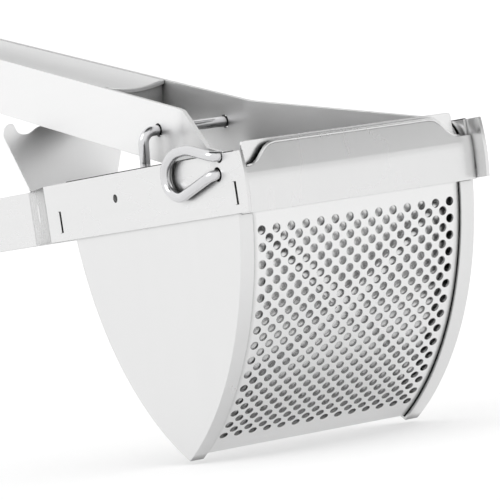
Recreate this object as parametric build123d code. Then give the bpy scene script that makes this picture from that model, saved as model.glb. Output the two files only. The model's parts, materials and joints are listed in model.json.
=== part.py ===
"""Sheet-steel potato ricer: a V-shaped hopper in a strip frame, with a hinged press lever.

Millimetres. Shapes are drawn with the hinge axis along Y through (0, 0, 0), X forwards and Z up,
and the whole object is then lifted so that its origin is the middle of its footprint.
"""
import os
from math import acos, asin, atan2, cos, degrees, radians, sin, tan

from build123d import *

# Sheet and wire
STRIP_T = 1.0
BASKET_T = 0.8
ARM_T = 1.2
PLATE_T = 1.0
PIN_R = 1.5
PIN_HOLE_R = 2.05
BAIL_R = 1.6
BAIL_HOLE_R = 2.1
FIT = 0.05

# Strip frame
FRAME_HALF = 41.45
STRIP_TOP = 5.6
STRIP_BOTTOM = -11.7
STRIP_FRONT = 13.3
STRIP_BULGE = 0.8
BEND_X = -101.8
GRIP_X = -157.0
GRIP_HALF = 16.5
FRAME_END_X = -250.0
FRAME_END_HALF = 13.0
BEND_R = 5.0
SLOT_W = 1.8
SLOT_AHEAD = 0.35
SLOT_SPAN = (-9.2, -2.7)
MID_SLOT_SPAN = (-5.0, 0.9)
SIGHT_HOLE = (-59.0, -1.7)
SIGHT_HOLE_R = 1.25
TAB_PROUD = 0.2

# Hopper: two mirrored arcs that meet in a ridge at the bottom
ARC_R = 92.1
ARC_Z = 1.0
FRONT_ARC_X = -86.0
RIDGE_X = -40.7
REAR_ARC_X = 2 * RIDGE_X - FRONT_ARC_X
BASKET_HALF = FRAME_HALF - STRIP_T - FIT
BASKET_TOP = 5.9
FLANGE_W = 4.5
FLANGE_GAP = 0.3
FLANGE_TOP = -11.9
TONGUE_HALF = 36.1
TONGUE_TOP = 8.2
TONGUE_FOOT = -14.5
TONGUE_CORNER_R = 1.0

# Perforation, a staggered field
PITCH = 5.0
HOLE_R = 1.3
ROWS = 15
COLUMNS = 14
FIRST_ROW = 11.4
ROW_STEP = 3.11

# Cross bands
BAND_BACK_X = 7.2
BAND_BULGE = 0.8
BAND_CREASE_Z = -3.0
BAND_CREASE_R = 25.0
BAND_TOP = 6.9
BAND_BOTTOM = -12.0
BAND_TOP_HALF = 26.5
BAND_SHOULDER_HALF = 36.6
BAND_SHOULDER_Z = 0.9
REAR_BAND_X = -94.2
MID_BAND_X = -128.0
BACK_BAND_TOP = 1.5

# Rest plate behind the hopper
REST_FOOT_Z = -10.0
REST_WAIST_HALF = 16.4
REST_WAIST_Z = 6.8
REST_WIDE_HALF = 22.6
REST_WIDE_Z = 24.0
REST_LOBE_Y = 18.9
REST_LOBE_TOP = 28.2
REST_DIP_Y = 14.6
REST_DIP_Z = 24.4
REST_SEAT_HALF = 8.0
REST_SEAT_Z = 26.4

# Lower grip
GRIP_FRONT_X = -166.0
GRIP_WALL_H = 9.0
HANG_X = -238.0
HANG_R = 4.0

# Lever, drawn level and then raised to its closed stop
LEVER_RAISE = 14.3
LEVER_TOP = 5.9
LEVER_BOTTOM = -12.2
LEVER_EAR_HALF = 39.1
LEVER_EAR_X = -9.0
LEVER_KINK_X = -65.2
LEVER_KINK_HALF = 12.7
LEVER_END_X = -250.0
LEVER_END_HALF = 10.0
LEVER_NOSE_X = -4.0
LEVER_EAR_BEND_R = 7.0
LEVER_KINK_R = 18.0
BAIL_X = -79.1
BAIL_Z = -2.4
WEB_FRONT_X = -113.0
WEB_SAG = 1.5
WEB_RIM = 0.1
WEB_WALL_SET = 1.2
WEB_WALL_FOOT = -9.0

# Wire bail, in the closed pose
BAIL_HALF = 18.0
BAIL_KNEE = (-79.4, 3.0)
BAIL_WELD_R = 85.7
BAIL_WELD_TOP = 38.0
BAIL_WELD_END = 50.0
BAIL_BENDS = (3.0, 9.0, 3.6)

# Press plate, in the closed pose
PRESS_R = 88.6
PRESS_TOP = 5.0
PRESS_END = 59.2
PRESS_SHOULDER = 14.0
PRESS_HALF = 39.0
PRESS_NECK_HALF = 36.4
EAR_HALF = 37.6
EAR_R = 4.8
EAR_FOOT = 34.0
EAR_REACH = 9.0
RIB_W = 5.0
RIB_H = 0.9
RIB_MIDDLE = 29.0
RIB_HALF_SPAN = 23.0
RIB_LEAN = 42.0

# Pivot pin
PIN_OUT = 43.3
PIN_END = 44.8
PIN_LOOP = ((-20.2, -5.3), (-25.9, -1.0), (-25.0, 4.3), (-19.6, 7.9), (-11.5, 8.3))
PIN_BENDS = (2.4, 8.0, 5.0, 5.2, 12.0, 16.0, 2.4)
PIN_HOOK = (2.0, 5.0)
PIN_HOOK_Y = 40.9
NOTCH_R = 1.9

SPLAY = atan2(FRAME_HALF - GRIP_HALF, BEND_X - GRIP_X)
SIDES = {"left": 1, "right": -1}
FAR = 400.0


def along_y(x, z, radius, length=FAR):
    """A round bar along Y, centred on the middle plane."""
    return Pos(x, 0, z) * Rot(90, 0, 0) * Cylinder(radius, length)


def block(x0, x1, y0, y1, z0, z1):
    """A box between two opposite corners."""
    middle = Pos((x0 + x1) / 2, (y0 + y1) / 2, (z0 + z1) / 2)
    return middle * Box(abs(x1 - x0), abs(y1 - y0), abs(z1 - z0))


def side_slab(edges, y0, y1):
    """A closed outline in the XZ plane, pushed out from y0 to y1."""
    face = make_face(edges)
    return Pos(0, y1, 0) * extrude(Plane.XZ * face, y1 - y0)


def front_slab(edges, x0, x1):
    """A closed outline drawn as (Y, Z), pushed out from x0 to x1."""
    face = make_face(edges)
    return Pos(x0, 0, 0) * extrude(Plane.YZ * face, x1 - x0)


def bent_strip(points, bends, thickness, bottom, top):
    """Flat strip on edge that follows a plan route, given as (X, Y) points on its outer face."""
    route = FilletPolyline(*[(x, y, bottom) for x, y in points], radius=bends)
    start = route @ 0
    heading = route % 0
    across = Vector(0, 0, 1).cross(heading)
    side = 1 if across.dot(Vector(0, -start.Y, 0)) > 0 else -1
    centre = start + across * (side * thickness / 2) + Vector(0, 0, (top - bottom) / 2)
    section = Plane(origin=centre, x_dir=across, z_dir=heading) * Rectangle(thickness, top - bottom)
    return sweep(section, path=route)


def arc_shell(centre_x, inner, outer, start, end, y0, y1):
    """Part of a tube wall about a Y axis, between two angles below the horizontal."""
    sign = 1 if centre_x < RIDGE_X else -1

    def at(radius, angle):
        return centre_x + sign * radius * cos(radians(angle)), ARC_Z - radius * sin(radians(angle))

    middle = (start + end) / 2
    edges = [
        ThreePointArc(at(outer, start), at(outer, middle), at(outer, end)),
        Line(at(outer, end), at(inner, end)),
        ThreePointArc(at(inner, end), at(inner, middle), at(inner, start)),
        Line(at(inner, start), at(outer, start)),
    ]
    return side_slab(edges, y0, y1)


def level_angle(radius, z):
    """Angle below the horizontal at which an arc of the hopper reaches height z."""
    return degrees(asin((ARC_Z - z) / radius))


def ridge_angle(radius):
    """Angle below the horizontal, in radians, at which an arc reaches the ridge plane."""
    return acos((RIDGE_X - FRONT_ARC_X) / radius)


def half_at(x, x0, half0, x1, half1):
    """Half-width of a tapering run at x."""
    return half0 + (half1 - half0) * (x - x0) / (x1 - x0)


def splay_half(x):
    return half_at(x, BEND_X, FRAME_HALF, GRIP_X, GRIP_HALF)


def slot(x, y, span=SLOT_SPAN):
    """Upright slot through a side strip, with its play ahead of the tab."""
    low, high = span
    return Pos(x + SLOT_AHEAD, y, (low + high) / 2) * Box(SLOT_W, 4 * STRIP_T, high - low)


def side_strip(side):
    points = [
        (STRIP_FRONT + STRIP_BULGE, side * FRAME_HALF),
        (BEND_X, side * FRAME_HALF),
        (GRIP_X, side * GRIP_HALF),
        (FRAME_END_X, side * FRAME_END_HALF),
    ]
    strip = bent_strip(points, BEND_R, STRIP_T, STRIP_BOTTOM, STRIP_TOP)
    middle = (STRIP_TOP + STRIP_BOTTOM) / 2
    edges = [
        ThreePointArc(
            (STRIP_FRONT, STRIP_TOP), (STRIP_FRONT + STRIP_BULGE, middle), (STRIP_FRONT, STRIP_BOTTOM)
        ),
        Polyline(
            (STRIP_FRONT, STRIP_BOTTOM), (-FAR, STRIP_BOTTOM), (-FAR, STRIP_TOP), (STRIP_FRONT, STRIP_TOP)
        ),
    ]
    strip &= side_slab(edges, -FRAME_HALF - 1, FRAME_HALF + 1)
    strip -= slot(BAND_BACK_X + STRIP_T / 2, side * FRAME_HALF)
    strip -= slot(REAR_BAND_X, side * FRAME_HALF)
    strip -= slot(MID_BAND_X, side * splay_half(MID_BAND_X), MID_SLOT_SPAN)
    strip -= along_y(0, 0, PIN_HOLE_R)
    strip -= along_y(*SIGHT_HOLE, SIGHT_HOLE_R)
    if side < 0:
        strip -= along_y(*PIN_HOOK, NOTCH_R)
    return strip


def bow(x, half, thickness, bottom, top):
    """Half-round end that joins the two sides of a handle."""
    ring = Cylinder(half, top - bottom) - Cylinder(half - thickness, top - bottom)
    ring = Pos(x, 0, (top + bottom) / 2) * ring
    return ring & block(x - half, x - FIT, -half, half, bottom, top)


def tabs(x, half, reach, span=SLOT_SPAN):
    """A pair of tabs that pass through the slots of both strips."""
    low, high = span
    pair = block(x, x + STRIP_T, half - 2 * STRIP_T, reach, low + FIT, high - FIT)
    return pair + mirror(pair, about=Plane.XZ)


def front_band():
    """Band across the front, with a raised middle and a shallow crease along it."""
    inner = FRAME_HALF - STRIP_T - FIT
    mid_y = (BAND_TOP_HALF + BAND_SHOULDER_HALF) / 2
    mid_z = (BAND_TOP + BAND_SHOULDER_Z) / 2
    shoulders = []
    for side in (1, -1):
        curve = Spline(
            (side * BAND_SHOULDER_HALF, BAND_SHOULDER_Z),
            (side * mid_y, mid_z),
            (side * BAND_TOP_HALF, BAND_TOP),
            tangents=[(-side, 0), (-side, 0)],
        )
        shoulders.append(curve)
    edges = shoulders + [
        Line((BAND_TOP_HALF, BAND_TOP), (-BAND_TOP_HALF, BAND_TOP)),
        Polyline(
            (BAND_SHOULDER_HALF, BAND_SHOULDER_Z),
            (inner, BAND_SHOULDER_Z),
            (inner, BAND_BOTTOM),
            (-inner, BAND_BOTTOM),
            (-inner, BAND_SHOULDER_Z),
            (-BAND_SHOULDER_HALF, BAND_SHOULDER_Z),
        ),
    ]
    band = front_slab(edges, BAND_BACK_X, BAND_BACK_X + STRIP_T + BAND_BULGE)
    back = BAND_BACK_X
    face_x = back + STRIP_T
    profile = [
        Line((back, BAND_BOTTOM), (face_x, BAND_BOTTOM)),
        FilletPolyline(
            (face_x, BAND_BOTTOM),
            (face_x + BAND_BULGE, BAND_CREASE_Z),
            (face_x, BAND_TOP),
            radius=BAND_CREASE_R,
        ),
        Line((face_x, BAND_TOP), (back, BAND_TOP)),
        FilletPolyline(
            (back, BAND_TOP),
            (back + BAND_BULGE, BAND_CREASE_Z),
            (back, BAND_BOTTOM),
            radius=BAND_CREASE_R - STRIP_T,
        ),
    ]
    band &= side_slab(profile, -inner, inner)
    return band + tabs(back, FRAME_HALF, FRAME_HALF + TAB_PROUD)


def back_band(x, half, span=SLOT_SPAN, splay=0.0):
    """Plain band across the frame, standing on edge between strips that close in at the splay angle."""
    inner = half - STRIP_T / cos(splay) - STRIP_T / 2 * tan(splay) - 2 * FIT
    band = block(x - STRIP_T / 2, x + STRIP_T / 2, -inner, inner, STRIP_BOTTOM, BACK_BAND_TOP)
    return band + tabs(x - STRIP_T / 2, half, half + TAB_PROUD, span)


def rest_plate():
    """Upright plate at the throat of the handles, with a lobe each side of the closed lever."""
    foot_half = GRIP_HALF - STRIP_T - 2 * FIT
    halves = []
    for side in (1, -1):
        outline = [
            Polyline(
                (0, REST_FOOT_Z),
                (side * foot_half, REST_FOOT_Z),
                (side * foot_half, STRIP_TOP + FIT),
                (side * REST_WAIST_HALF, REST_WAIST_Z),
                (side * REST_WIDE_HALF, REST_WIDE_Z),
            ),
            Spline(
                (side * REST_WIDE_HALF, REST_WIDE_Z),
                (side * REST_LOBE_Y, REST_LOBE_TOP),
                (side * REST_DIP_Y, REST_DIP_Z),
                tangents=[(side * 0.3, 1), (-side, 0)],
            ),
            Spline(
                (side * REST_DIP_Y, REST_DIP_Z),
                (side * REST_SEAT_HALF, REST_SEAT_Z),
                tangents=[(-side, 0), (-side, 0)],
            ),
            Polyline((side * REST_SEAT_HALF, REST_SEAT_Z), (0, REST_SEAT_Z), (0, REST_FOOT_Z)),
        ]
        halves.append(front_slab(outline, GRIP_X - PLATE_T / 2, GRIP_X + PLATE_T / 2))
    return halves[0] + halves[1]


def lower_grip():
    """Shallow channel that closes the underside of the lower handle and holds the hanging hole."""
    front = half_at(GRIP_FRONT_X, GRIP_X, GRIP_HALF, FRAME_END_X, FRAME_END_HALF) - STRIP_T - 2 * FIT
    end = FRAME_END_HALF - STRIP_T - 2 * FIT
    top = STRIP_BOTTOM + GRIP_WALL_H
    outer = Polyline(
        (GRIP_FRONT_X, front), (FRAME_END_X, end), (FRAME_END_X, -end), (GRIP_FRONT_X, -front), close=True
    )
    hollow = Polyline(
        (GRIP_FRONT_X + 1, front - PLATE_T),
        (FRAME_END_X - 1, end - PLATE_T),
        (FRAME_END_X - 1, PLATE_T - end),
        (GRIP_FRONT_X + 1, PLATE_T - front),
        close=True,
    )
    channel = Pos(0, 0, STRIP_BOTTOM) * extrude(make_face(outer), top - STRIP_BOTTOM)
    channel -= Pos(0, 0, STRIP_BOTTOM + PLATE_T) * extrude(make_face(hollow), top - STRIP_BOTTOM)
    return channel - Pos(HANG_X, 0, STRIP_BOTTOM) * Cylinder(HANG_R, 4 * PLATE_T)


def basket_side(side):
    """Flat end wall of the hopper with a flange folded over each curved wall."""
    outer = ARC_R + FLANGE_GAP + BASKET_T
    sweep_angle = ridge_angle(outer)
    ridge = ARC_Z - outer * sin(sweep_angle)
    edges = []
    for centre, sign in ((FRONT_ARC_X, 1), (REAR_ARC_X, -1)):
        mid = (centre + sign * outer * cos(sweep_angle / 2), ARC_Z - outer * sin(sweep_angle / 2))
        edges.append(ThreePointArc((centre + sign * outer, ARC_Z), mid, (RIDGE_X, ridge)))
    front = FRONT_ARC_X + outer
    rear = REAR_ARC_X - outer
    edges.append(Polyline((front, ARC_Z), (front, BASKET_TOP), (rear, BASKET_TOP), (rear, ARC_Z)))
    wall = side_slab(edges, -BASKET_HALF, BASKET_T - BASKET_HALF)
    start = level_angle(ARC_R, FLANGE_TOP)
    end = degrees(sweep_angle)
    for centre in (FRONT_ARC_X, REAR_ARC_X):
        wall += arc_shell(centre, ARC_R + FLANGE_GAP, outer, start, end, -BASKET_HALF, FLANGE_W - BASKET_HALF)
    wall -= along_y(0, 0, PIN_HOLE_R)
    return mirror(wall, about=Plane.XZ) if side > 0 else wall


def curved_wall(centre, sign):
    """Plain curved wall of the hopper, from its straight lip down to the ridge."""
    half = BASKET_HALF - BASKET_T - FIT
    inner = ARC_R - BASKET_T
    end = degrees(ridge_angle(inner))
    wall = arc_shell(centre, inner, ARC_R, 0, end, -half, half)
    x_inner = centre + sign * inner
    x_outer = centre + sign * ARC_R
    lip = block(x_inner, x_outer, -half, half, ARC_Z, BASKET_TOP)
    keep = block(RIDGE_X + sign * FIT / 2, sign * FAR, -half, half, -FAR, FAR)
    return (wall + lip) & keep


def perforations():
    """Staggered holes, each square to the curved wall."""
    drills = []
    for row in range(2 * ROWS - 1):
        angle = FIRST_ROW + row * ROW_STEP / 2
        count = COLUMNS - row % 2
        for column in range(count):
            y = (column - (count - 1) / 2) * PITCH
            drill = Pos(ARC_R - BASKET_T / 2, y, 0) * Rot(0, 90, 0) * Cylinder(HOLE_R, 3 * BASKET_T)
            drills.append(Pos(FRONT_ARC_X, 0, ARC_Z) * Rot(0, angle, 0) * drill)
    return drills


def front_screen():
    """Perforated front wall with a narrower tongue that rises behind the front band."""
    wall = curved_wall(FRONT_ARC_X, 1)
    half = BASKET_HALF - BASKET_T
    for side in (1, -1):
        wall -= block(-20, 20, side * TONGUE_HALF, side * (half + 1), TONGUE_FOOT, FAR)
    x_outer = FRONT_ARC_X + ARC_R
    sheet = RectangleRounded(2 * TONGUE_HALF, 2 * (TONGUE_TOP - ARC_Z), TONGUE_CORNER_R)
    tongue = Pos(x_outer - BASKET_T, 0, ARC_Z) * extrude(Plane.YZ * sheet, BASKET_T)
    tongue &= block(0, FAR, -half, half, ARC_Z, FAR)
    return wall + tongue - perforations()


def level_to_closed(shape):
    return Rot(0, LEVER_RAISE, 0) * shape


def lever_arm(side):
    """Arm that runs straight from the grip, splays at a kink and ends in an ear on the pin."""
    points = [
        (-LEVER_EAR_X, side * LEVER_EAR_HALF),
        (LEVER_EAR_X, side * LEVER_EAR_HALF),
        (LEVER_KINK_X, side * LEVER_KINK_HALF),
        (LEVER_END_X, side * LEVER_END_HALF),
    ]
    arm = bent_strip(points, [LEVER_EAR_BEND_R, LEVER_KINK_R], ARM_T, LEVER_BOTTOM, LEVER_TOP)
    radius = (LEVER_TOP - LEVER_BOTTOM) / 2
    middle = (LEVER_TOP + LEVER_BOTTOM) / 2
    edges = [
        ThreePointArc(
            (LEVER_NOSE_X, LEVER_TOP), (LEVER_NOSE_X + radius, middle), (LEVER_NOSE_X, LEVER_BOTTOM)
        ),
        Polyline(
            (LEVER_NOSE_X, LEVER_BOTTOM), (-FAR, LEVER_BOTTOM), (-FAR, LEVER_TOP), (LEVER_NOSE_X, LEVER_TOP)
        ),
    ]
    arm &= side_slab(edges, -FRAME_HALF, FRAME_HALF)
    arm -= along_y(0, 0, PIN_HOLE_R)
    arm -= along_y(BAIL_X, BAIL_Z, BAIL_HOLE_R)
    return level_to_closed(arm)


def web_section(x):
    """Dished cross-section of the lever's web at one station."""
    half = half_at(x, LEVER_KINK_X, LEVER_KINK_HALF, LEVER_END_X, LEVER_END_HALF) - ARM_T - 2 * FIT
    rim = LEVER_TOP - WEB_RIM
    edges = [
        ThreePointArc((-half, rim), (0, rim - WEB_SAG), (half, rim)),
        Line((half, rim), (half, rim - PLATE_T)),
        ThreePointArc((half, rim - PLATE_T), (0, rim - WEB_SAG - PLATE_T), (-half, rim - PLATE_T)),
        Line((-half, rim - PLATE_T), (-half, rim)),
    ]
    return Plane.YZ.offset(x) * make_face(edges)


def lever_web():
    """Dished web between the arms, with its front edge turned down into a wall."""
    web = loft([web_section(LEVER_END_X), web_section(WEB_FRONT_X)])
    half = half_at(WEB_FRONT_X, LEVER_KINK_X, LEVER_KINK_HALF, LEVER_END_X, LEVER_END_HALF)
    half -= ARM_T + 3 * FIT
    rim = LEVER_TOP - WEB_RIM - PLATE_T / 2
    edges = [
        ThreePointArc((-half, rim), (0, rim - WEB_SAG), (half, rim)),
        Polyline((half, rim), (half, WEB_WALL_FOOT), (-half, WEB_WALL_FOOT), (-half, rim)),
    ]
    wall = front_slab(edges, WEB_FRONT_X - WEB_WALL_SET - PLATE_T, WEB_FRONT_X - WEB_WALL_SET)
    return level_to_closed(web + wall)


def press_point(radius, angle):
    return FRONT_ARC_X + radius * cos(radians(angle)), ARC_Z - radius * sin(radians(angle))


def press_plate():
    """Curved plate that closes against the front wall."""
    inner = PRESS_R - PLATE_T
    half = PRESS_NECK_HALF
    neck = arc_shell(FRONT_ARC_X, inner, PRESS_R, PRESS_TOP, PRESS_SHOULDER, -half, half)
    body = arc_shell(FRONT_ARC_X, inner, PRESS_R, PRESS_SHOULDER, PRESS_END, -PRESS_HALF, PRESS_HALF)
    return neck + body


def press_ear(side):
    """Gusset behind the press plate that carries it on the pin."""
    edge = PRESS_R - PLATE_T - FIT
    top = press_point(edge, PRESS_TOP)
    foot = press_point(edge, EAR_FOOT)
    middle = press_point(edge, (PRESS_TOP + EAR_FOOT) / 2)
    edges = [
        ThreePointArc(top, middle, foot),
        Polyline(foot, (foot[0] - EAR_REACH, foot[1] + EAR_REACH), (-EAR_R, 0), (EAR_R, 0), top),
    ]
    outer = EAR_HALF
    ear = side_slab(edges, -outer, PLATE_T - outer)
    ear += Pos(0, PLATE_T / 2 - outer, 0) * Rot(90, 0, 0) * Cylinder(EAR_R, PLATE_T)
    ear -= along_y(0, 0, PIN_HOLE_R)
    return mirror(ear, about=Plane.XZ) if side > 0 else ear


def x_rib():
    """Crossed stiffening ribs on the pressing face."""
    start = RIB_MIDDLE - RIB_HALF_SPAN
    end = RIB_MIDDLE + RIB_HALF_SPAN
    skin = arc_shell(
        FRONT_ARC_X, PRESS_R + FIT, PRESS_R + FIT + RIB_H, start, end, -PRESS_NECK_HALF, PRESS_NECK_HALF
    )
    bars = None
    for lean in (RIB_LEAN, -RIB_LEAN):
        bar = Pos(PRESS_R, 0, 0) * Rot(lean, 0, 0) * Box(4 * EAR_R + RIB_W, FAR, RIB_W)
        bar = Pos(FRONT_ARC_X, 0, ARC_Z) * Rot(0, RIB_MIDDLE, 0) * bar
        bars = bar if bars is None else bars + bar
    return skin & bars


def round_wire(points, bends, radius):
    """Round wire along straight runs joined by tangent bends."""
    route = FilletPolyline(*points, radius=bends)
    section = Plane(origin=route @ 0, z_dir=route % 0) * Circle(radius)
    return sweep(section, path=route)


def wire_bail():
    """Wire that crosses both arms, drops into the hopper and is welded to the press plate."""
    raise_by = radians(LEVER_RAISE)
    rod_x = BAIL_X * cos(raise_by) + BAIL_Z * sin(raise_by)
    rod_z = BAIL_Z * cos(raise_by) - BAIL_X * sin(raise_by)
    corners = [
        press_point(BAIL_WELD_R, BAIL_WELD_END),
        press_point(BAIL_WELD_R, BAIL_WELD_TOP),
        BAIL_KNEE,
        (rod_x, rod_z),
    ]
    left = [(x, BAIL_HALF, z) for x, z in corners]
    right = [(x, -BAIL_HALF, z) for x, z in reversed(corners)]
    return round_wire(left + right, list(BAIL_BENDS + BAIL_BENDS[::-1]), BAIL_R)


def pivot_pin():
    """Pull-out hinge pin with a teardrop finger loop whose end rests in the strip's notch."""
    loop = [(x, -PIN_OUT, z) for x, z in PIN_LOOP]
    hook_x, hook_z = PIN_HOOK
    points = [(0, PIN_END, 0), (0, -PIN_OUT, 0)] + loop
    points += [(hook_x, -PIN_OUT, hook_z), (hook_x, -PIN_HOOK_Y + 0.2, hook_z)]
    return round_wire(points, list(PIN_BENDS), PIN_R)


def all_nodes():
    nodes = {
        "frame_bow": bow(FRAME_END_X, FRAME_END_HALF, STRIP_T, STRIP_BOTTOM, STRIP_TOP),
        "front_band": front_band(),
        "rear_band": back_band(REAR_BAND_X, FRAME_HALF),
        "mid_band": back_band(MID_BAND_X, splay_half(MID_BAND_X), MID_SLOT_SPAN, SPLAY),
        "rest_plate": rest_plate(),
        "lower_grip": lower_grip(),
        "front_screen": front_screen(),
        "rear_wall": curved_wall(REAR_ARC_X, -1),
        "pivot_pin": pivot_pin(),
        "lever_bow": level_to_closed(bow(LEVER_END_X, LEVER_END_HALF, ARM_T, LEVER_BOTTOM, LEVER_TOP)),
        "lever_web": lever_web(),
        "wire_bail": wire_bail(),
        "press_plate": press_plate(),
        "x_rib": x_rib(),
    }
    for name, side in SIDES.items():
        nodes[f"side_strip_{name}"] = side_strip(side)
        nodes[f"basket_side_{name}"] = basket_side(side)
        nodes[f"lever_arm_{name}"] = lever_arm(side)
        nodes[f"press_ear_{name}"] = press_ear(side)
    return nodes


nodes = all_nodes()
boxes = [shape.bounding_box() for shape in nodes.values()]
middle_x = (min(box.min.X for box in boxes) + max(box.max.X for box in boxes)) / 2
lowest_z = min(box.min.Z for box in boxes)
to_origin = Pos(-middle_x, 0, -lowest_z)
print("shift", to_origin.position)
os.makedirs("parts", exist_ok=True)
for name, shape in nodes.items():
    export_step(to_origin * shape, f"parts/{name}.step")
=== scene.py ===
import json
from math import cos, pi, radians, sin

import bmesh
import bpy
from mathutils import Matrix, Vector


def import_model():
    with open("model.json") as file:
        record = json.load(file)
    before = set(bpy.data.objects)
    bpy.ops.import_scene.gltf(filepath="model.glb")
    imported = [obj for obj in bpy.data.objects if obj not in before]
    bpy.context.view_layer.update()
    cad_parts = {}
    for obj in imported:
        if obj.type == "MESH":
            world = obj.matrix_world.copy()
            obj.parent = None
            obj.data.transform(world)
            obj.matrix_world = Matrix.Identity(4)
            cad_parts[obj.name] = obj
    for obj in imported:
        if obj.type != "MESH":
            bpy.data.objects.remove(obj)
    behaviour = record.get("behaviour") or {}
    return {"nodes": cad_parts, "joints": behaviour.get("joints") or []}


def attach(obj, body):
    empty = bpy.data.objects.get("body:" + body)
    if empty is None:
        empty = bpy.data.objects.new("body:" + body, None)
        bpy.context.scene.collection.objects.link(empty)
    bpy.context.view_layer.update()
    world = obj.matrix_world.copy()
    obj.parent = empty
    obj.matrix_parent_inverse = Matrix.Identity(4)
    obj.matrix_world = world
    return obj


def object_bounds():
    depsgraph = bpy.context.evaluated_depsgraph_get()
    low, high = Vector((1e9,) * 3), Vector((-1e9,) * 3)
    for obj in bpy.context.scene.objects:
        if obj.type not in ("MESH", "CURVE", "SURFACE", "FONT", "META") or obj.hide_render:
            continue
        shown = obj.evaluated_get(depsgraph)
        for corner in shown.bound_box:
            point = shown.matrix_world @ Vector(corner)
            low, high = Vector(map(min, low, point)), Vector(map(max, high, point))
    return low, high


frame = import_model()
cad_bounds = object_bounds()

MM = 0.001
nodes = frame["nodes"]
joints = {joint["name"]: joint for joint in frame["joints"]}
PIVOT = Vector(joints["lever_hinge"]["pos_m"])
STUDIO = bpy.context.scene.collection


# ---------------------------------------------------------------- materials

# Scale of the grain noise per metre: long along one axis, fine across it
ALONG_X = (12.0, 260.0, 260.0)
ALONG_Y = (260.0, 12.0, 260.0)
ALONG_Z = (260.0, 260.0, 12.0)
GRAIN_DETAIL = 3.0
GRAIN_GLOSS = 0.02
GRAIN_HEIGHT = 0.02 * MM
GRAIN_TINT = 0.97
CLOUD_SCALE = 45.0
CLOUD_DETAIL = 2.0
NOOK_SAMPLES = 6
EDGE_SAMPLES = 4
EDGE_RADIUS = 0.22 * MM
# Painted shadow: the basket sides are painted near-black above this height, where the gap over the side strip
# lies in shade.
GAP_SHADOW_Z = PIVOT.z + 5.62 * MM
GAP_SHADOW_COLOUR = (0.05, 0.05, 0.05, 1)
WHITE = (1, 1, 1, 1)


def new_material(name):
    material = bpy.data.materials.new(name)
    material.use_nodes = True
    return material, material.node_tree.nodes, material.node_tree.links


def noise(tree, links, vector, scale, detail):
    """Noise in object space. Returns its 0 to 1 output."""
    texture = tree.new("ShaderNodeTexNoise")
    texture.inputs["Scale"].default_value = scale
    texture.inputs["Detail"].default_value = detail
    links.new(vector, texture.inputs["Vector"])
    return texture.outputs["Fac"]


def map_range(tree, links, value, to_min, to_max, from_min=0.0, from_max=1.0):
    """Linear remap of a value, clamped to its new range."""
    remap = tree.new("ShaderNodeMapRange")
    remap.inputs["From Min"].default_value = from_min
    remap.inputs["From Max"].default_value = from_max
    remap.inputs["To Min"].default_value = to_min
    remap.inputs["To Max"].default_value = to_max
    links.new(value, remap.inputs["Value"])
    return remap.outputs["Result"]


def satin_gloss(tree, links, clouds, lines, roughness, mottle):
    """Roughness that drifts with the clouds and flickers a little along the grain."""
    total = tree.new("ShaderNodeMath")
    total.operation = "ADD"
    total.use_clamp = True
    drift = map_range(tree, links, clouds, roughness - mottle, roughness + mottle)
    links.new(drift, total.inputs[0])
    links.new(map_range(tree, links, lines, -GRAIN_GLOSS, GRAIN_GLOSS), total.inputs[1])
    return total.outputs["Value"]


def grain_tint(tree, links, lines, colour):
    tint = tree.new("ShaderNodeMix")
    tint.data_type = "RGBA"
    tint.inputs["A"].default_value = (*[part * GRAIN_TINT for part in colour], 1)
    tint.inputs["B"].default_value = (*colour, 1)
    links.new(lines, tint.inputs["Factor"])
    return tint.outputs["Result"]


def paint_nook_shade(tree, links, colour, nook, shut_at, open_at):
    """Painted shade: colour darkened by ambient occlusion in crevices, where shade falls; nook is how far to
    look, in mm, and the shade left in them.
    """
    reach, shade = nook
    # Painted shade: the occlusion darkens the base colour in crevices, between parts and in holes.
    occlusion = tree.new("ShaderNodeAmbientOcclusion")
    occlusion.samples = NOOK_SAMPLES
    occlusion.inputs["Distance"].default_value = reach * MM
    nook_shade_mix = tree.new("ShaderNodeMix")
    nook_shade_mix.data_type = "RGBA"
    nook_shade_mix.blend_type = "MULTIPLY"
    nook_shade_mix.inputs["Factor"].default_value = 1.0
    links.new(colour, nook_shade_mix.inputs["A"])
    links.new(map_range(tree, links, occlusion.outputs["AO"], shade, 1.0, shut_at, open_at), nook_shade_mix.inputs["B"])
    return nook_shade_mix.outputs["Result"]


def paint_gap_shadow(tree, links, place, colour, height):
    """Painted shadow: near-black painted along the top of a sheet, above a height, where the gap above the
    strip is in shade.
    """
    parts = tree.new("ShaderNodeSeparateXYZ")
    links.new(place, parts.inputs["Vector"])
    above = tree.new("ShaderNodeMath")
    above.operation = "GREATER_THAN"
    above.inputs[1].default_value = height
    links.new(parts.outputs["Z"], above.inputs[0])
    gap_shadow_mix = tree.new("ShaderNodeMix")
    gap_shadow_mix.data_type = "RGBA"
    gap_shadow_mix.inputs["B"].default_value = GAP_SHADOW_COLOUR
    links.new(above.outputs["Value"], gap_shadow_mix.inputs["Factor"])
    links.new(colour, gap_shadow_mix.inputs["A"])
    return gap_shadow_mix.outputs["Result"]


def soft_normal(tree, links, lines, grain_depth):
    """Rounded sheet edges with the grain's fine relief on top."""
    edge = tree.new("ShaderNodeBevel")
    edge.samples = EDGE_SAMPLES
    edge.inputs["Radius"].default_value = EDGE_RADIUS
    bump = tree.new("ShaderNodeBump")
    bump.inputs["Strength"].default_value = grain_depth
    bump.inputs["Distance"].default_value = GRAIN_HEIGHT
    links.new(lines, bump.inputs["Height"])
    links.new(edge.outputs["Normal"], bump.inputs["Normal"])
    return bump.outputs["Normal"]


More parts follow.
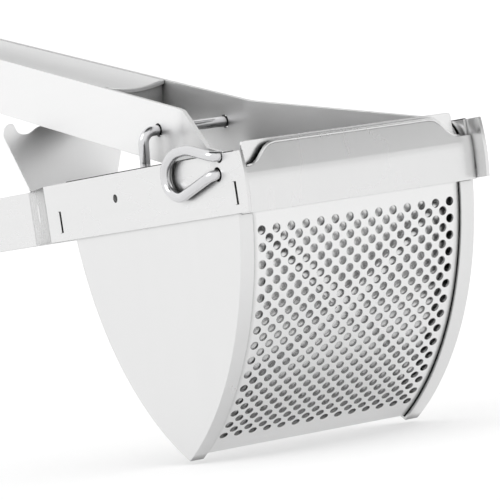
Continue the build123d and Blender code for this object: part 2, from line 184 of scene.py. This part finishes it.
def brushed_steel(name, colour, roughness, grain, grain_depth, mottle=0.05, nook=(3.0, 0.3),
                  shut_at=0.15, open_at=0.75, shadow_above=None):
    """Satin stainless: fine stretched grain, faint cloudy gloss, softened edges, painted shade darkening the
    crevices.
    """
    material, tree, links = new_material(name)
    shader = tree["Principled BSDF"]
    shader.inputs["Metallic"].default_value = 1.0
    place = tree.new("ShaderNodeTexCoord").outputs["Object"]
    stretch = tree.new("ShaderNodeMapping")
    stretch.inputs["Scale"].default_value = grain
    links.new(place, stretch.inputs["Vector"])
    lines = noise(tree, links, stretch.outputs["Vector"], 1.0, GRAIN_DETAIL)
    clouds = noise(tree, links, place, CLOUD_SCALE, CLOUD_DETAIL)

    gloss = satin_gloss(tree, links, clouds, lines, roughness, mottle)
    # Painted shade: the grain-tinted colour is darkened in crevices by ambient occlusion.
    tone = paint_nook_shade(tree, links, grain_tint(tree, links, lines, colour), nook, shut_at, open_at)
    # Painted shadow along the top of the sheet, where a height is given.
    if shadow_above is not None:
        tone = paint_gap_shadow(tree, links, place, tone, shadow_above)
    links.new(gloss, shader.inputs["Roughness"])
    links.new(tone, shader.inputs["Base Color"])
    links.new(soft_normal(tree, links, lines, grain_depth), shader.inputs["Normal"])
    return material


def assign(material, *names):
    for name in names:
        node = nodes[name]
        if not node.data.materials:
            node.data.materials.append(material)
        for slot in node.material_slots:
            slot.material = material


# The nook settings set how far the painted crevice shade reaches and how dark it gets; the lever's long reach
# darkens the space between its arms.
frame_steel = brushed_steel("frame_steel", (0.75, 0.75, 0.75), 0.27, ALONG_X, 0.04, mottle=0.03)
band_steel = brushed_steel(
    "band_steel", (0.76, 0.76, 0.76), 0.27, ALONG_Z, 0.06, nook=(2.5, 0.1), shut_at=0.35, open_at=0.85)
rest_steel = brushed_steel("rest_steel", (0.93, 0.93, 0.93), 0.36, ALONG_Z, 0.05)
basket_steel = brushed_steel(
    "basket_steel", (0.82, 0.82, 0.82), 0.25, ALONG_Y, 0.05, nook=(2.2, 0.03), shut_at=0.55, open_at=0.92)
# The basket sides get a near-black painted shadow along their top, above the side strips.
basket_side_steel = brushed_steel(
    "basket_side_steel", (0.75, 0.75, 0.75), 0.25, ALONG_Z, 0.04, shadow_above=GAP_SHADOW_Z)
lever_steel = brushed_steel("lever_steel", (0.84, 0.84, 0.84), 0.40, ALONG_X, 0.04, nook=(26.0, 0.08))
press_steel = brushed_steel("press_steel", (0.86, 0.86, 0.86), 0.26, ALONG_Y, 0.1, nook=(4.0, 0.8))
wire_steel = brushed_steel("wire_steel", (0.66, 0.66, 0.67), 0.17, ALONG_Y, 0.03, mottle=0.02)

assign(frame_steel, "side_strip_left", "side_strip_right", "frame_bow", "lower_grip")
assign(rest_steel, "rest_plate")
assign(band_steel, "front_band", "rear_band", "mid_band")
assign(basket_steel, "front_screen", "rear_wall")
assign(basket_side_steel, "basket_side_left", "basket_side_right")
assign(lever_steel, "lever_arm_left", "lever_arm_right", "lever_bow", "lever_web")
assign(press_steel, "press_plate", "press_ear_left", "press_ear_right", "x_rib")
assign(wire_steel, "pivot_pin", "wire_bail")


# ---------------------------------------------------------------- beads along two sheet edges
# Distances are in millimetres from the hinge axis, as in the CAD.

LEVER_RAISE = radians(14.3)
WEB_RIM_X = -113.9
WEB_RIM_HALF = 10.6
WEB_RIM_Z = 5.3
WEB_RIM_SAG = 1.5
WEB_RIM_R = 0.75
WEB_RIM_STEPS = 16
BAND_RIM_X = 8.2
BAND_RIM_R = 0.45
BAND_SHOULDER = ((36.6, 0.9), (34.6, 1.3), (33.0, 2.3), (31.55, 3.9), (30.1, 5.5), (28.5, 6.5), (26.5, 6.9))
BEAD_SIDES = 10


def lever_point(x, y, z):
    """A point given on the level lever, moved to the closed pose, in metres."""
    turned = Matrix.Rotation(LEVER_RAISE, 3, "Y") @ Vector((x, y, z))
    return PIVOT + turned * MM


def ring_points(centre, heading, radius):
    """Points round a circle square to a heading."""
    turn = heading.to_track_quat("Z", "Y").to_matrix()
    for side in range(BEAD_SIDES):
        angle = 2 * pi * side / BEAD_SIDES
        yield centre + turn @ Vector((radius * cos(angle), radius * sin(angle), 0))


def tube(name, points, radius):
    """Closed round bead along a run of points."""
    work = bmesh.new()
    rings = []
    last = len(points) - 1
    for index, point in enumerate(points):
        heading = points[min(index + 1, last)] - points[max(index - 1, 0)]
        rings.append([work.verts.new(place) for place in ring_points(point, heading, radius)])
    for first, second in zip(rings, rings[1:]):
        for side in range(BEAD_SIDES):
            after = (side + 1) % BEAD_SIDES
            work.faces.new((first[side], first[after], second[after], second[side]))
    work.faces.new(rings[0][::-1])
    work.faces.new(rings[-1])
    bmesh.ops.recalc_face_normals(work, faces=work.faces)
    for face in work.faces:
        face.smooth = True
    mesh = bpy.data.meshes.new(name)
    work.to_mesh(mesh)
    work.free()
    thing = bpy.data.objects.new(name, mesh)
    STUDIO.objects.link(thing)
    return thing


def web_run():
    """The dished front edge of the lever's web, from arm to arm."""
    run = []
    for step in range(WEB_RIM_STEPS + 1):
        across = -1 + 2 * step / WEB_RIM_STEPS
        dip = WEB_RIM_SAG * (1 - across * across)
        run.append(lever_point(WEB_RIM_X, across * WEB_RIM_HALF, WEB_RIM_Z - dip))
    return run


def band_run():
    """The front band's top edge, over both shoulders."""
    right = [PIVOT + Vector((BAND_RIM_X, -y, z)) * MM for y, z in BAND_SHOULDER]
    left = [PIVOT + Vector((BAND_RIM_X, y, z)) * MM for y, z in reversed(BAND_SHOULDER)]
    return right + left


web_rim = tube("web_rim", web_run(), WEB_RIM_R * MM)
web_rim.data.materials.append(lever_steel)
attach(web_rim, "lever")

band_rim = tube("band_rim", band_run(), BAND_RIM_R * MM)
band_rim.data.materials.append(band_steel)
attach(band_rim, "frame")


# ---------------------------------------------------------------- studio

FLOOR_REACH = 3.0
FLOOR_DROP = 0.001
FLOOR_COLOUR = (0.62, 0.62, 0.62, 1)
FLOOR_ROUGHNESS = 0.9
FLOOR_GLOW = 0.36
SKY_STRENGTH = 1.12
CARD_AIM = PIVOT + Vector((-0.04, 0, -0.02))
CARD_DISTANCE = 0.9
PERCENT = 100
# Reflection cards: azimuth and elevation in degrees, width and height in metres, brightness
CARDS = {
    "card_front_high": (28.0, 32.0, 0.45, 0.75, 0.18),
    "card_top": (28.0, 84.0, 0.9, 0.9, 0.12),
    "card_web": (146.0, 27.0, 0.5, 0.3, 0.50),
    "card_splay": (162.0, -6.0, 0.7, 0.5, 0.10),
    "card_softbox": (-97.0, 38.0, 0.6, 0.45, 3.5),
}
CAMERA_AZIMUTH = radians(31.84)
CAMERA_ELEVATION = radians(-0.41)
CAMERA_ROLL = radians(-8.69)
CAMERA_DISTANCE = 1.0123
CAMERA_AIM = PIVOT + Vector((-0.0154, -0.0251, -0.0224))
CAMERA_SENSOR = 36.0
CAMERA_LENS = 254.9
CAMERA_CLIP = 20.0


def studio_mesh(name, points, material):
    """A flat four-cornered staging piece, which isn't part of the object."""
    mesh = bpy.data.meshes.new(name)
    mesh.from_pydata(points, [], [(0, 1, 2, 3)])
    mesh.materials.append(material)
    thing = bpy.data.objects.new(name, mesh)
    STUDIO.objects.link(thing)
    return thing


def floor():
    """Pale floor with a faint glow of its own, which keeps the shadow soft."""
    material, tree, _ = new_material("pale_floor")
    shader = tree["Principled BSDF"]
    shader.inputs["Base Color"].default_value = FLOOR_COLOUR
    shader.inputs["Roughness"].default_value = FLOOR_ROUGHNESS
    shader.inputs["Emission Color"].default_value = WHITE
    shader.inputs["Emission Strength"].default_value = FLOOR_GLOW
    reach = FLOOR_REACH
    low = cad_bounds[0][2] - FLOOR_DROP
    corners = [(-reach, -reach, low), (reach, -reach, low), (reach, reach, low), (-reach, reach, low)]
    studio_mesh("floor", corners, material)


def world():
    """Even white surroundings, shown without a film-like tone curve."""
    sky = bpy.data.worlds.new("studio")
    sky.use_nodes = True
    background = sky.node_tree.nodes["Background"]
    background.inputs["Color"].default_value = WHITE
    background.inputs["Strength"].default_value = SKY_STRENGTH
    bpy.context.scene.world = sky
    bpy.context.scene.view_settings.view_transform = "Standard"


def card_material(brightness):
    material, tree, links = new_material(f"card_{int(brightness * PERCENT)}")
    glow = tree.new("ShaderNodeEmission")
    glow.inputs["Color"].default_value = WHITE
    glow.inputs["Strength"].default_value = brightness
    links.new(glow.outputs["Emission"], tree["Material Output"].inputs["Surface"])
    return material


def direction(azimuth, elevation):
    """Unit vector at an azimuth from +X and an elevation, in radians."""
    level = cos(elevation)
    return Vector((cos(azimuth) * level, sin(azimuth) * level, sin(elevation)))


def card(name, azimuth, elevation, width, height, brightness):
    """Studio card that is seen only in reflections, square to the line to the object."""
    outward = direction(radians(azimuth), radians(elevation))
    centre = CARD_AIM + outward * CARD_DISTANCE
    across = outward.cross(Vector((0, 0, 1))).normalized() * width / 2
    upward = across.cross(outward).normalized() * height / 2
    corners = [
        centre - across - upward,
        centre + across - upward,
        centre + across + upward,
        centre - across + upward,
    ]
    thing = studio_mesh(name, corners, card_material(brightness))
    thing.visible_camera = False
    thing.visible_shadow = False
    thing.visible_diffuse = False


def camera():
    """Long lens, looking almost level, 32 degrees round from the front, and rolled."""
    forward = direction(pi - CAMERA_AZIMUTH, CAMERA_ELEVATION)
    lens = bpy.data.cameras.new("camera")
    lens.sensor_width = CAMERA_SENSOR
    lens.lens = CAMERA_LENS
    lens.clip_end = CAMERA_CLIP
    thing = bpy.data.objects.new("camera", lens)
    turn = forward.to_track_quat("-Z", "Y").to_matrix() @ Matrix.Rotation(CAMERA_ROLL, 3, "Z")
    thing.matrix_world = Matrix.Translation(CAMERA_AIM - forward * CAMERA_DISTANCE) @ turn.to_4x4()
    STUDIO.objects.link(thing)
    bpy.context.scene.camera = thing


floor()
world()
camera()
for card_name, setting in CARDS.items():
    card(card_name, *setting)
